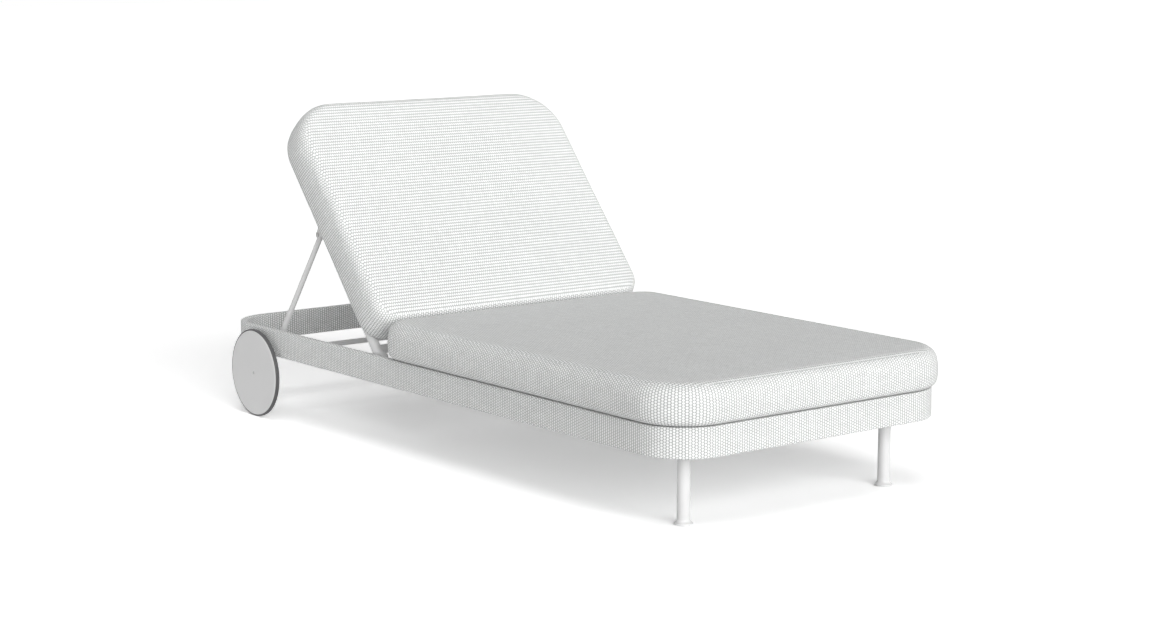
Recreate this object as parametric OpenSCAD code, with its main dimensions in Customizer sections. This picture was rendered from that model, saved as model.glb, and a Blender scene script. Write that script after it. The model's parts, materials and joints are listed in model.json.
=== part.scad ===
// Reclining sun lounger on two front legs and two rear wheels.
// Millimetres. X across (+X is the right side seen from the foot end), +Y towards the head, +Z up.
// Origin: on the floor, midway along and across the bed frame. Drawn with the back raised.

/* [Bed frame] */
// Length of the bed frame over its fabric cover
frame_l = 2050; // [1950:10:2100]
// Width of the bed frame over its fabric cover
frame_w = 906; // [860:2:940]
// Height of the frame band over its fabric cover
band_h = 75; // [68:1:80]
// Thickness of the frame band over its fabric cover
band_t = 20; // [18:1:24]
// Height of the top of the frame band above the floor
band_top = 255.5; // [250:0.5:262]
// Outside radius of the frame corners
corner_r = 129; // [110:1:140]
// Wall of the aluminium frame tube
rail_wall = 2; // [1.5:0.5:3]
// Thickness of the woven cover on the frame
cover_t = 1.2; // [0.8:0.1:2]

/* [Back] */
// Angle of the raised back above level
back_angle = 50; // [48:0.1:52]
// Distance of the back pivot from the middle of the frame
pivot_y = 260.5; // [255:0.5:266]
// Height of the back pivot
pivot_z = 243; // [242:0.5:244]
// Diameter of the back frame tube
back_tube_d = 28; // [26:1:28]
// Distance of each back arm from the centre line
arm_x = 412; // [408:1:412]
// Length of the straight part of each back arm
arm_len = 620; // [600:5:625]
// Bend radius of the bow that joins the arms
bow_r = 100; // [80:5:110]

/* [Cushions] */
// Thickness of the seat cushion
seat_t = 102; // [94:1:106]
// Rear end of the seat cushion, from the middle of the frame
seat_rear = 197.5; // [185:0.5:198]
// Thickness of the back cushion
back_t = 120; // [100:1:121]
// Lower end of the back cushion, up the arms from the pivot
back_low = 34; // [34:1:60]
// Upper end of the back cushion, up the arms from the pivot
back_high = 764; // [750:1:766]
// Plan radius of the seat cushion's corners at the foot
cushion_r = 130; // [110:1:140]
// Radius of the back cushion's upper corners
head_r = 140; // [120:1:150]
// Plan radius of the cushion corners at the fold
fold_r = 68; // [60:1:90]

/* [Prop] */
// Distance of the prop hinge up the back arm from the pivot
hinge_u = 417; // [412:1:420]
// Distance of the prop hinge behind the arm's centre line
hinge_v = 26; // [25:1:30]
// Diameter of the prop tube
prop_d = 16; // [14:1:16]
// Height of the prop's cross bar in its rack
rack_z = 181.5; // [180:0.5:190]

/* [Legs and wheels] */
// Diameter of the front leg tube
leg_d = 32; // [28:1:34]
// Distance of the front legs from the centre line
leg_x = 330; // [300:5:350]
// Distance of the front legs from the middle of the frame, towards the foot
leg_y = 909; // [900:1:915]
// Diameter of a wheel over its tyre
wheel_d = 250; // [240:2:250]
// Width of a wheel
wheel_t = 13; // [12:1:14]
// Distance of a wheel's outer face from the centre line
wheel_x = 479; // [479:1:482]
// Distance of the wheel axles from the middle of the frame
wheel_y = 820; // [815:1:825]

/* [Hidden] */
$fn = 48;
half_w = frame_w / 2;
half_l = frame_l / 2;
band_z = band_top - band_h;
inner_x = half_w - band_t;            // inside face of the band
plate_t = 4;                          // plates on the inside of the band
plate_x = inner_x - plate_t;
straight_y = half_l - corner_r;       // where the frame corners begin
slat_t = 12;
slat_w = 60;
slat_wall = 1.5;
deck_z = band_top + 1.5;              // top of the seat slats
ledge_t = 3;
ledge_z = deck_z - slat_t - ledge_t;  // underside of the ledge below the slats
ledge_w = 25;
ledge_y0 = -832;
ledge_y1 = 190;
beam_w = 50;
beam_h = 40;
beam_z = deck_z - beam_h;
beam_plate_y = -896;                  // the end plates stand on the straight part of the band
beam_plate_w = 60;
beam_plate_h = 33;
seat_slat_y = [-760, -540, -320, -100, 120];
back_slat_u = [110, 250, 390, 530];
cushion_gap = 0.3;
back_tube_wall = 2;
back_tube_r = back_tube_d / 2;
pin_d = 10;                           // shank of the pivot bolts
bush_d = 14;
bush_gap = 0.05;                      // running clearance on the radius
pivot_gap = 0.3;                      // end clearance at the hinges
low_tube_d = 25;
low_tube_u = 24;
bow_u = arm_len + bow_r;
lug_t = 3;
lug_gap = prop_d / 2 + 0.5;           // from the arm's centre plane to a lug cheek
eye_d = 20;
hinge_bolt_d = 8;
screw_d = 6;
screw_gap = 0.1;
head_t = 2.8;
head_d = 11;
leg_wall = 2;
leg_plate_t = 4;
leg_plate_w = 84;
leg_plate_d = 46;
leg_screw_x = 30;
foot_h = 13;
foot_r = 23.7;
wheel_z = wheel_d / 2;
tyre_h = 3.7;                         // radial height of the tyre
disc_r = wheel_z - tyre_h;
axle_d = 12;
wheel_bush_d = 16;
hub_r = 18;
hub_in = half_w - 6.4;                // inner end of the hub
bracket_x = half_w - 13;              // inside face of the wheel bracket's plate
bracket_t = 6;
bracket_r = 22;
bracket_w = 76;
flange_t = 4.5;
sleeve_d = 20;
sleeve_l = 10;
bar_end = inner_x - 1.5;
notch_gap = 0.4;

// Prop geometry in the side view, as [y, z] pairs
function on_arm(u, v, a) = [pivot_y + u * cos(a) - v * sin(a), pivot_z + u * sin(a) + v * cos(a)];
function hinge_at(a) = on_arm(hinge_u, -hinge_v, a);
hinge_p = hinge_at(back_angle);
prop_slope = 54.2;                    // slope of the prop below level
prop_len = (hinge_p[1] - rack_z) / sin(prop_slope);
foot_y = hinge_p[0] + prop_len * cos(prop_slope);
function foot_y_at(a) = hinge_at(a)[0] + sqrt(pow(prop_len, 2) - pow(hinge_at(a)[1] - rack_z, 2));
rack_angles = [back_angle, back_angle - 4];
release_slope = 57;                   // the way the bar leaves a notch, below level
rack_y0 = foot_y - 26;
rack_y1 = foot_y_at(rack_angles[1]) + 24;
rack_z0 = rack_z - 17;
rack_h = 68;
tab_u = [596, 622];                   // rest tab below the lowered arm
tab_t = 4;
pad_t = 2.7;
pivot_plate_w = 42;
pivot_plate_h = 30;

// Screws on the inside of the band, as [y, z] pairs
ledge_screws = [for (y = [-812, -430, -210, 160]) [y, ledge_z - 12]];
beam_screws = [for (y = [-872, -847]) [y, beam_z + 16]];
pivot_screws = [for (d = [-14.5, 14.5]) [pivot_y + d, pivot_z - 4]];
rack_screws = [[rack_y0 + 12, rack_z + 26], [rack_y1 - 14, rack_z + 26]];
band_screws = concat(ledge_screws, beam_screws, pivot_screws, rack_screws);
flange_screw_y = [wheel_y - 29, wheel_y + 29];

// ---------- placing ----------

// Everything with a side is drawn for the right side and mirrored for the left
module on_side(side) {
    if (side == "left") mirror([1, 0, 0]) children();
    else children();
}

module both_sides() {
    children();
    mirror([1, 0, 0]) children();
}

// Local X across, Y up the back arms from the pivot, Z out of the back's front face
module on_back() {
    translate([0, pivot_y, pivot_z]) rotate([back_angle, 0, 0]) children();
}

// Local Z runs along +X from x = 0
module along_x(x, y, z) {
    translate([x, y, z]) rotate([0, 90, 0]) children();
}

module along_y(x, y, z) {
    translate([x, y, z]) rotate([-90, 0, 0]) children();
}

// ---------- shared shapes ----------

module rounded_rect(w, h, r) {
    square([w - 2 * r, h], center = true);
    square([w, h - 2 * r], center = true);
    for (x = [-w / 2 + r, w / 2 - r])
        for (y = [-h / 2 + r, h / 2 - r])
            translate([x, y]) circle(r);
}

module tube(d, wall, len) {
    difference() {
        cylinder(d = d, h = len);
        translate([0, 0, -1]) cylinder(d = d - 2 * wall, h = len + 2);
    }
}

// Cross-section of the frame tube, centred on the band
module rail_section() {
    difference() {
        square([band_t - 2 * cover_t, band_h - 2 * cover_t], center = true);
        square([band_t - 2 * (cover_t + rail_wall), band_h - 2 * (cover_t + rail_wall)], center = true);
    }
}

// Cross-section of the woven cover round the frame tube
module cover_section() {
    difference() {
        rounded_rect(band_t, band_h, 3);
        square([band_t - 2 * cover_t, band_h - 2 * cover_t], center = true);
    }
}

// Clearance holes that go through the band's inside wall, on the right side
module band_holes() {
    for (p = band_screws)
        along_x(plate_x - 1, p[0], p[1]) cylinder(d = screw_d + 2 * screw_gap, h = 14);
    along_x(plate_x - 1, pivot_y, pivot_z) cylinder(d = pin_d + 2 * screw_gap, h = 14);
    for (y = flange_screw_y)
        translate([half_w - band_t / 2, y, band_z - 6]) cylinder(d = screw_d + 2 * screw_gap, h = 14);
}

// Straight side of the band with the section given as children, on the right side
module side_band() {
    difference() {
        translate([half_w - band_t / 2, straight_y, band_z + band_h / 2])
            rotate([90, 0, 0]) linear_extrude(2 * straight_y) children();
        band_holes();
    }
}

// One end of the band with its two corners, at the head end
module end_band() {
    translate([-half_w + corner_r, half_l - band_t / 2, band_z + band_h / 2])
        rotate([90, 0, 90]) linear_extrude(frame_w - 2 * corner_r) children();
    both_sides()
        translate([half_w - corner_r, straight_y, band_z + band_h / 2])
            rotate_extrude(angle = 90) translate([corner_r - band_t / 2, 0]) children();
}

// Plan of the space inside the band
module inside_band() {
    rounded_rect(2 * inner_x, 2 * (half_l - band_t), corner_r - band_t);
}

// A box tube across the bed, open at its ends, sitting on local z = 0
module cross_box(len, w, h, wall) {
    translate([-len / 2, 0, h / 2]) rotate([90, 0, 90]) linear_extrude(len) difference() {
        square([w, h], center = true);
        square([w - 2 * wall, h - 2 * wall], center = true);
    }
}

// Rounded rectangle whose corners differ at its two ends, from y0 to y1
module pad_outline(w, y0, y1, r0, r1, grow) {
    q0 = r0 + grow;
    q1 = r1 + grow;
    hull() {
        for (s = [-1, 1]) {
            translate([s * (w / 2 + grow - q0), y0 - grow + q0]) circle(q0, $fn = 64);
            translate([s * (w / 2 + grow - q1), y1 + grow - q1]) circle(q1, $fn = 64);
        }
    }
}

// Side profile of a filled cushion as [height share, outline growth] pairs: rounded top and
// bottom edges and a full belly between them
function pad_profile(belly, edge) = [
    [0, belly - edge * 0.62], [0.035, belly - edge * 0.34], [0.12, belly - edge * 0.1],
    [0.28, belly - edge * 0.01], [0.5, belly], [0.7, belly - edge * 0.07],
    [0.83, belly - edge * 0.22], [0.92, belly - edge * 0.46], [0.975, belly - edge * 0.74],
    [1, belly - edge]
];

// A filled cushion on local z = 0
module filled_pad(w, y0, y1, r0, r1, t, belly, edge) {
    skin = 0.1;
    hull()
        for (p = pad_profile(belly, edge))
            translate([0, 0, p[0] * (t - skin)])
                linear_extrude(skin) pad_outline(w, y0, y1, r0, r1, p[1]);
}

// ---------- bed frame ----------

module side_rail(side) {
    color("silver") on_side(side) side_band() rail_section();
}

module head_rail() {
    color("silver") end_band() rail_section();
}

module foot_rail() {
    color("silver") mirror([0, 1, 0]) end_band() rail_section();
}

module side_rail_cover(side) {
    color("gainsboro") on_side(side) side_band() cover_section();
}

module head_rail_cover() {
    color("gainsboro") end_band() cover_section();
}

module foot_rail_cover() {
    color("gainsboro") mirror([0, 1, 0]) end_band() cover_section();
}

// Box beam that carries the front legs, cut to the corners, with a screwed plate at each end
module front_cross_beam() {
    color("white") difference() {
        union() {
            intersection() {
                translate([0, -leg_y, beam_z]) cross_box(2 * plate_x, beam_w, beam_h, 2);
                translate([0, 0, beam_z - 1]) linear_extrude(beam_h + 2) inside_band();
            }
            both_sides()
                translate([plate_x, beam_plate_y, beam_z])
                    cube([plate_t, beam_plate_w, beam_plate_h]);
        }
        both_sides() {
            for (p = beam_screws)
                along_x(plate_x - 1, p[0], p[1]) cylinder(d = screw_d + 2 * screw_gap, h = plate_t + 2);
            for (d = [-leg_screw_x, leg_screw_x])
                translate([leg_x + d, -leg_y, beam_z - 1])
                    cylinder(d = screw_d + 2 * screw_gap, h = 4);
        }
    }
}

// Angle strip on the inside of the band that the seat slats lie on
module seat_ledge(side) {
    color("white") on_side(side) difference() {
        union() {
            translate([plate_x, ledge_y0, ledge_z - ledge_w + ledge_t])
                cube([plate_t, ledge_y1 - ledge_y0, ledge_w]);
            translate([inner_x - ledge_w, ledge_y0, ledge_z])
                cube([ledge_w - plate_t, ledge_y1 - ledge_y0, ledge_t]);
        }
        for (p = ledge_screws)
            along_x(plate_x - 1, p[0], p[1]) cylinder(d = screw_d + 2 * screw_gap, h = plate_t + 2);
        rivet_holes();
    }
}

rivet_x = inner_x - 15;
module rivet_holes() {
    for (y = seat_slat_y)
        translate([rivet_x, y, ledge_z - 1]) cylinder(d = 5.2, h = ledge_t + slat_wall + 1.5);
}

module seat_slats() {
    color("white") difference() {
        for (y = seat_slat_y)
            translate([0, y, deck_z - slat_t])
                cross_box(2 * plate_x - 2, slat_w, slat_t, slat_wall);
        both_sides() rivet_holes();
    }
}

module slat_rivets() {
    color("silver") both_sides()
        for (y = seat_slat_y)
            translate([rivet_x, y, ledge_z]) {
                translate([0, 0, -1.6]) cylinder(d = 9, h = 1.6);
                cylinder(d = 5, h = ledge_t + slat_wall + 1);
            }
}

// Button-head screws that hold every plate to the inside of the band
module band_screw_set() {
    color("silver") both_sides()
        for (p = band_screws)
            along_x(plate_x - head_t, p[0], p[1]) {
                cylinder(d1 = head_d - 4, d2 = head_d, h = head_t, $fn = 32);
                cylinder(d = screw_d, h = head_t + plate_t + cover_t + rail_wall + 3);
            }
}

// ---------- legs ----------

module front_leg(side) {
    color("white") on_side(side) difference() {
        union() {
            translate([leg_x, -leg_y, foot_h]) cylinder(d = leg_d, h = beam_z - foot_h - 1);
            translate([leg_x, -leg_y, beam_z - leg_plate_t])
                linear_extrude(leg_plate_t) rounded_rect(leg_plate_w, leg_plate_d, 6);
        }
        translate([leg_x, -leg_y, foot_h - 1]) cylinder(d = leg_d - 2 * leg_wall, h = beam_z - foot_h - leg_plate_t + 1);
        for (d = [-leg_screw_x, leg_screw_x])
            translate([leg_x + d, -leg_y, beam_z - leg_plate_t - 1])
                cylinder(d = screw_d + 2 * screw_gap, h = leg_plate_t + 2);
    }
}

// Flared glide with a plug that goes up into the leg tube
module leg_foot(side) {
    plug_r = leg_d / 2 - leg_wall - 0.1;
    color("white") on_side(side) translate([leg_x, -leg_y, 0]) rotate_extrude()
        polygon([
            [0, 0], [foot_r - 1.2, 0], [foot_r, 1.2], [foot_r, 4.5], [foot_r - 1, 5.5],
            [leg_d / 2 + 3.2, 7.4], [leg_d / 2 + 1.4, 9.4], [leg_d / 2 + 0.5, 11.4],
            [leg_d / 2, foot_h], [plug_r, foot_h], [plug_r, foot_h + 20], [0, foot_h + 20]
        ]);
}

module leg_screws() {
    color("silver") both_sides()
        for (d = [-leg_screw_x, leg_screw_x])
            translate([leg_x + d, -leg_y, beam_z - leg_plate_t - head_t]) {
                cylinder(d1 = head_d - 4, d2 = head_d, h = head_t, $fn = 32);
                cylinder(d = screw_d, h = head_t + leg_plate_t + 6);
            }
}

// ---------- back pivot ----------

module pivot_plate(side) {
    color("white") on_side(side) difference() {
        translate([plate_x, pivot_y - pivot_plate_w / 2, pivot_z - 19])
            cube([plate_t, pivot_plate_w, pivot_plate_h]);
        along_x(plate_x - 1, pivot_y, pivot_z) cylinder(d = pin_d + 2 * screw_gap, h = plate_t + 2);
        for (p = pivot_screws)
            along_x(plate_x - 1, p[0], p[1]) cylinder(d = screw_d + 2 * screw_gap, h = plate_t + 2);
    }
}

// Shoulder bolt through the arm's bush into the band
module pivot_bolt(side) {
    head_x = arm_x - back_tube_r - pivot_gap - 1.5 - 5;
    color("silver") on_side(side) along_x(head_x, pivot_y, pivot_z) {
        cylinder(d = 16, h = 5);
        cylinder(d = pin_d, h = inner_x + cover_t + rail_wall + 2 - head_x);
    }
}

// Nylon bush, flanged at the inner end, in the eye of each arm
module pivot_bush(side) {
    flange_x = arm_x - back_tube_r - 1.5;
    color("dimgray") on_side(side) on_back() along_x(flange_x, 0, 0) difference() {
        union() {
            cylinder(d = 18, h = 1.5);
            cylinder(d = bush_d, h = back_tube_d + 1.5);
        }
        translate([0, 0, -1]) cylinder(d = pin_d + 2 * bush_gap, h = back_tube_d + 4);
    }
}

// ---------- back frame ----------

// Solid envelope of one arm, used to cope the tubes that meet it
module arm_envelope() {
    along_y(arm_x, 0, 0) cylinder(d = back_tube_d, h = arm_len);
    along_x(arm_x - back_tube_r, 0, 0) cylinder(d = back_tube_d, h = back_tube_d);
}

module back_arm(side) {
    color("white") on_side(side) on_back() difference() {
        arm_envelope();
        along_y(arm_x, back_tube_r - 1, 0)
            cylinder(d = back_tube_d - 2 * back_tube_wall, h = arm_len);
        along_x(arm_x - back_tube_r - 1, 0, 0) cylinder(d = bush_d, h = back_tube_d + 2);
    }
}

module back_top_bow() {
    color("white") on_back() {
        along_x(-arm_x + bow_r, bow_u, 0) tube(back_tube_d, back_tube_wall, 2 * (arm_x - bow_r));
        both_sides()
            translate([arm_x - bow_r, arm_len, 0]) rotate_extrude(angle = 90)
                translate([bow_r, 0]) difference() {
                    circle(d = back_tube_d);
                    circle(d = back_tube_d - 2 * back_tube_wall);
                }
    }
}

module back_lower_tube() {
    color("white") on_back() difference() {
        along_x(-arm_x, low_tube_u, 0) tube(low_tube_d, back_tube_wall, 2 * arm_x);
        both_sides() arm_envelope();
    }
}

module back_slats() {
    color("white") on_back() difference() {
        for (u = back_slat_u)
            translate([0, u, back_tube_r - slat_t])
                cross_box(2 * arm_x - back_tube_r, slat_w, slat_t, slat_wall);
        both_sides() arm_envelope();
    }
}

// Two cheeks welded behind the arm, which hold the head of the prop
module prop_lug(side) {
    color("white") on_side(side) on_back() difference() {
        for (x = [arm_x - lug_gap - lug_t, arm_x + lug_gap])
            translate([x, hinge_u, 0]) rotate([90, 0, 90]) linear_extrude(lug_t) {
                polygon([[-17, -6], [17, -6], [10.5, -hinge_v], [-10.5, -hinge_v]]);
                translate([0, -hinge_v]) circle(10.5);
            }
        arm_envelope();
        along_x(arm_x - 20, hinge_u, -hinge_v) cylinder(d = hinge_bolt_d + 2 * screw_gap, h = 40);
    }
}

module prop_bolts() {
    inner = arm_x - lug_gap - lug_t;
    grip = 6 + 2 * (lug_gap + lug_t);
    color("silver") both_sides() on_back() along_x(inner - 6, hinge_u, -hinge_v) difference() {
        union() {
            cylinder(d = 13, h = 6, $fn = 6);
            cylinder(d = hinge_bolt_d, h = grip);
            translate([0, 0, grip]) cylinder(d = 13, h = 2.4);
        }
        translate([0, 0, grip + 0.6]) cylinder(d = 5.8, h = 2, $fn = 6);
    }
}

// ---------- prop ----------

// Local X across, Y from the prop hinge down to the cross bar
module on_prop() {
    translate([0, hinge_p[0], hinge_p[1]]) rotate([-prop_slope, 0, 0]) children();
}

module prop_strut(side) {
    color("white") on_side(side) on_prop() difference() {
        union() {
            along_y(arm_x, 0, 0) cylinder(d = prop_d, h = prop_len);
            along_x(arm_x - lug_gap + pivot_gap, 0, 0) cylinder(d = eye_d, h = 2 * (lug_gap - pivot_gap));
        }
        along_y(arm_x, eye_d / 2 + 1, 0) cylinder(d = prop_d - 3, h = prop_len);
        along_x(arm_x - 20, 0, 0) cylinder(d = hinge_bolt_d + 2 * bush_gap, h = 40);
        along_x(arm_x - 20, prop_len, 0) cylinder(d = prop_d, h = 40);
    }
}

module prop_cross_bar() {
    color("white") along_x(-bar_end, foot_y, rack_z) tube(prop_d, 1.5, 2 * bar_end);
}

module bar_sleeves() {
    color("dimgray") both_sides()
        along_x(bar_end - sleeve_l, foot_y, rack_z) tube(sleeve_d, (sleeve_d - prop_d) / 2, sleeve_l);
}

// One notch: the seat of the bar and the mouth it leaves by
module notch(y) {
    w = sleeve_d / 2 + notch_gap;
    translate([y, rack_z]) {
        circle(w);
        rotate(-180 + release_slope)
            polygon([[0, -w + 0.2], [0, w - 0.2], [60, w + 14], [60, -w - 4]]);
    }
}

// Notched plate on the inside of the band, with a tab that the lowered back rests on
module prop_rack(side) {
    color("white") on_side(side) {
        difference() {
            translate([plate_x, 0, 0]) rotate([90, 0, 90]) linear_extrude(plate_t) difference() {
                translate([rack_y0, rack_z0]) square([rack_y1 - rack_y0, rack_h]);
                for (a = rack_angles)
                    notch(foot_y_at(a));
            }
            for (p = rack_screws)
                along_x(plate_x - 1, p[0], p[1])
                    cylinder(d = screw_d + 2 * screw_gap, h = plate_t + 2);
        }
        translate([arm_x - 8, pivot_y + tab_u[0], pivot_z - back_tube_r - pad_t - pivot_gap - tab_t])
            cube([plate_x - arm_x + 9, tab_u[1] - tab_u[0], tab_t]);
    }
}

module rest_pads() {
    color("dimgray") both_sides()
        translate([arm_x - 7, pivot_y + tab_u[0] + 2, pivot_z - back_tube_r - pad_t - pivot_gap])
            cube([plate_x - arm_x + 4, tab_u[1] - tab_u[0] - 4, pad_t]);
}

// ---------- wheels ----------

// Plate under the band with a flange that is screwed to it
module wheel_bracket(side) {
    color("white") on_side(side) difference() {
        union() {
            translate([bracket_x, wheel_y, 0]) rotate([90, 0, 90]) linear_extrude(bracket_t) {
                translate([0, wheel_z]) circle(bracket_r);
                translate([-bracket_r, wheel_z]) square([2 * bracket_r, band_z - wheel_z]);
            }
            translate([half_w - band_t / 2, wheel_y, band_z - flange_t])
                linear_extrude(flange_t) rounded_rect(band_t - 4, bracket_w, 4);
        }
        along_x(bracket_x - 1, wheel_y, wheel_z) cylinder(d = axle_d, h = bracket_t + 2);
        for (y = flange_screw_y)
            translate([half_w - band_t / 2, y, band_z - flange_t - 1])
                cylinder(d = screw_d + 2 * screw_gap, h = flange_t + 2);
    }
}

module bracket_screws() {
    color("silver") both_sides()
        for (y = flange_screw_y)
            translate([half_w - band_t / 2, y, band_z - flange_t - head_t]) {
                cylinder(d1 = head_d - 4, d2 = head_d, h = head_t, $fn = 32);
                cylinder(d = screw_d, h = head_t + flange_t + 6);
            }
}

hub_out = wheel_x - 4;                // bottom of the hub's blind bore
module wheel_axle(side) {
    color("silver") on_side(side) along_x(bracket_x - 6, wheel_y, wheel_z) difference() {
        union() {
            cylinder(d = 20, h = 6, $fn = 6);
            cylinder(d = axle_d, h = hub_out - 0.5 - bracket_x + 6);
        }
        translate([0, 0, hub_out - 12 - bracket_x + 6]) cylinder(d = 5, h = 20);
    }
}

// Countersunk screw that holds the wheel on its axle
module hub_screw(side) {
    color("silver") on_side(side) difference() {
        union() {
            along_x(hub_out - 10, wheel_y, wheel_z) cylinder(d = 5, h = 12);
            along_x(wheel_x - 3, wheel_y, wheel_z) cylinder(d1 = 5, d2 = 9, h = 2.6, $fn = 32);
        }
        along_x(wheel_x - 1.8, wheel_y, wheel_z) cylinder(d = 4.6, h = 2, $fn = 6);
    }
}

// Flat disc with a bevelled rim and a hub boss on its inner face
module wheel_disc(side) {
    in = wheel_x - wheel_t;
    bevel = 1.5;
    color("lightgray") on_side(side) along_x(0, wheel_y, wheel_z) difference() {
        rotate_extrude() polygon([
            [0, hub_in], [hub_r, hub_in], [hub_r, in + 4], [disc_r - 9, in + 4], [disc_r - 9, in],
            [disc_r, in], [disc_r, wheel_x - bevel], [disc_r - bevel, wheel_x], [0, wheel_x]
        ]);
        translate([0, 0, hub_in - 1]) cylinder(d = wheel_bush_d, h = hub_out - hub_in + 1);
        translate([0, 0, hub_out - 1]) cylinder(d = 6, h = 10);
        translate([0, 0, wheel_x - 3.2]) cylinder(d = 10, h = 5);
    }
}

module wheel_tyre(side) {
    in = wheel_x - wheel_t;
    color("dimgray") on_side(side) along_x(0, wheel_y, wheel_z) rotate_extrude()
        polygon([
            [disc_r, in + 0.5], [wheel_z - 1.5, in + 0.5], [wheel_z - 0.4, in + 1.2],
            [wheel_z, in + 2.5], [wheel_z, wheel_x - 3.5], [wheel_z - 0.4, wheel_x - 2.2],
            [wheel_z - 1.5, wheel_x - 1.5], [disc_r, wheel_x - 1.5]
        ]);
}

module wheel_bush(side) {
    color("dimgray") on_side(side) along_x(hub_in, wheel_y, wheel_z)
        tube(wheel_bush_d, (wheel_bush_d - axle_d) / 2 - bush_gap, hub_out - hub_in - 1);
}

// ---------- cushions ----------

module seat_cushion() {
    belly = 14.5;
    color("whitesmoke") translate([0, 0, deck_z + cushion_gap])
        filled_pad(frame_w, -half_l, seat_rear - belly, cushion_r, fold_r, seat_t, belly, 36);
}

module back_cushion() {
    belly = 2;
    color("whitesmoke") on_back() translate([0, 0, back_tube_r + cushion_gap])
        filled_pad(frame_w, back_low + belly, back_high - belly, fold_r, head_r, back_t, belly, 30);
}

side_rail("left");  // left_side_rail
side_rail("right");  // right_side_rail
head_rail();
foot_rail();
side_rail_cover("left");  // left_rail_cover
side_rail_cover("right");  // right_rail_cover
head_rail_cover();
foot_rail_cover();
front_cross_beam();
seat_ledge("left");  // left_seat_ledge
seat_ledge("right");  // right_seat_ledge
seat_slats();
slat_rivets();
front_leg("left");  // left_front_leg
front_leg("right");  // right_front_leg
leg_foot("left");  // left_leg_foot
leg_foot("right");  // right_leg_foot
leg_screws();
pivot_plate("left");  // left_pivot_plate
pivot_plate("right");  // right_pivot_plate
pivot_bolt("left");  // left_pivot_bolt
pivot_bolt("right");  // right_pivot_bolt
prop_rack("left");  // left_prop_rack
prop_rack("right");  // right_prop_rack
rest_pads();
band_screw_set();  // band_screws
wheel_bracket("left");  // left_wheel_bracket
wheel_bracket("right");  // right_wheel_bracket
bracket_screws();
wheel_axle("left");  // left_wheel_axle
wheel_axle("right");  // right_wheel_axle
hub_screw("left");  // left_hub_screw
hub_screw("right");  // right_hub_screw
seat_cushion();
back_arm("left");  // left_back_arm
back_arm("right");  // right_back_arm
back_top_bow();
back_lower_tube();
back_slats();
pivot_bush("left");  // left_pivot_bush
pivot_bush("right");  // right_pivot_bush
prop_lug("left");  // left_prop_lug
prop_lug("right");  // right_prop_lug
prop_bolts();
back_cushion();
prop_strut("left");  // left_prop_strut
prop_strut("right");  // right_prop_strut
prop_cross_bar();
bar_sleeves();
wheel_disc("left");  // left_wheel_disc
wheel_tyre("left");  // left_wheel_tyre
wheel_bush("left");  // left_wheel_bush
wheel_disc("right");  // right_wheel_disc
wheel_tyre("right");  // right_wheel_tyre
wheel_bush("right");  // right_wheel_bush
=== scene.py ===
"""Reclining sun lounger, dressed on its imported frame.

Metres, in the frame's own axes: +X to the right side seen from the foot end, +Y towards the head,
+Z up, floor at z = 0. Fabric surfaces carry a UV map in metres, laid as the cloth lies, and the
weave is drawn from it.
"""

import json
import math

import bpy
import numpy as np
from mathutils import Matrix, Vector


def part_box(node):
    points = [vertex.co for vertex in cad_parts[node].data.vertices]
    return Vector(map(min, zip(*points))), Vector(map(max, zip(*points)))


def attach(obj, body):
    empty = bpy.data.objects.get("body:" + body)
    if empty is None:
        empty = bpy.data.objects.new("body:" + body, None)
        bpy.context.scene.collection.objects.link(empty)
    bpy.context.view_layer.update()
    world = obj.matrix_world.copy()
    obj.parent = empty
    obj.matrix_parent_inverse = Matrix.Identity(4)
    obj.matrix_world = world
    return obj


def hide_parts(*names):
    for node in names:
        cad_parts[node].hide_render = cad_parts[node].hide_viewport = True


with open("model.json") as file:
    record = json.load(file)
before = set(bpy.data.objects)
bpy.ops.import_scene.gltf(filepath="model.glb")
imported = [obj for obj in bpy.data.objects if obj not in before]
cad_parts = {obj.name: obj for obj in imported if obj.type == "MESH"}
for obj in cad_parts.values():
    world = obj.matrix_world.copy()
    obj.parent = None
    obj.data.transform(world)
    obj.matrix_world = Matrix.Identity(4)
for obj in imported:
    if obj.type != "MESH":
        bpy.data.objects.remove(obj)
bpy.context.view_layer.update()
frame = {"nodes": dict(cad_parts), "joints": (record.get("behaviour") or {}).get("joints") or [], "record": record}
nodes = frame["nodes"]
record = frame["record"]
joints = {j["name"]: j for j in frame["joints"]}


# ---------------------------------------------------------------- camera


CAMERA_PLACE = (-4.0006, -5.2336, 1.4239)
CAMERA_HEADING, CAMERA_TILT = 37.858, 9.143  # degrees: from +Y towards +X, and below level
SENSOR_WIDTH, LENS = 36.0, 76.56  # millimetres


def aim_camera():
    """The camera, set by its place, its heading, its tilt and its lens."""
    heading, tilt = math.radians(CAMERA_HEADING), math.radians(CAMERA_TILT)
    forward = Vector(
        (math.sin(heading) * math.cos(tilt), math.cos(heading) * math.cos(tilt), -math.sin(tilt))
    )
    right = forward.cross(Vector((0, 0, 1))).normalized()
    up = right.cross(forward)
    data = bpy.data.cameras.new("Camera")
    data.sensor_fit = "HORIZONTAL"
    data.sensor_width = SENSOR_WIDTH
    data.lens = LENS
    data.clip_end = 200
    camera = bpy.data.objects.new("Camera", data)
    turn = Matrix((right, up, -forward)).transposed().to_4x4()
    camera.matrix_world = Matrix.Translation(CAMERA_PLACE) @ turn
    bpy.context.scene.collection.objects.link(camera)
    bpy.context.scene.camera = camera


# ---------------------------------------------------------------- shader helpers


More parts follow.
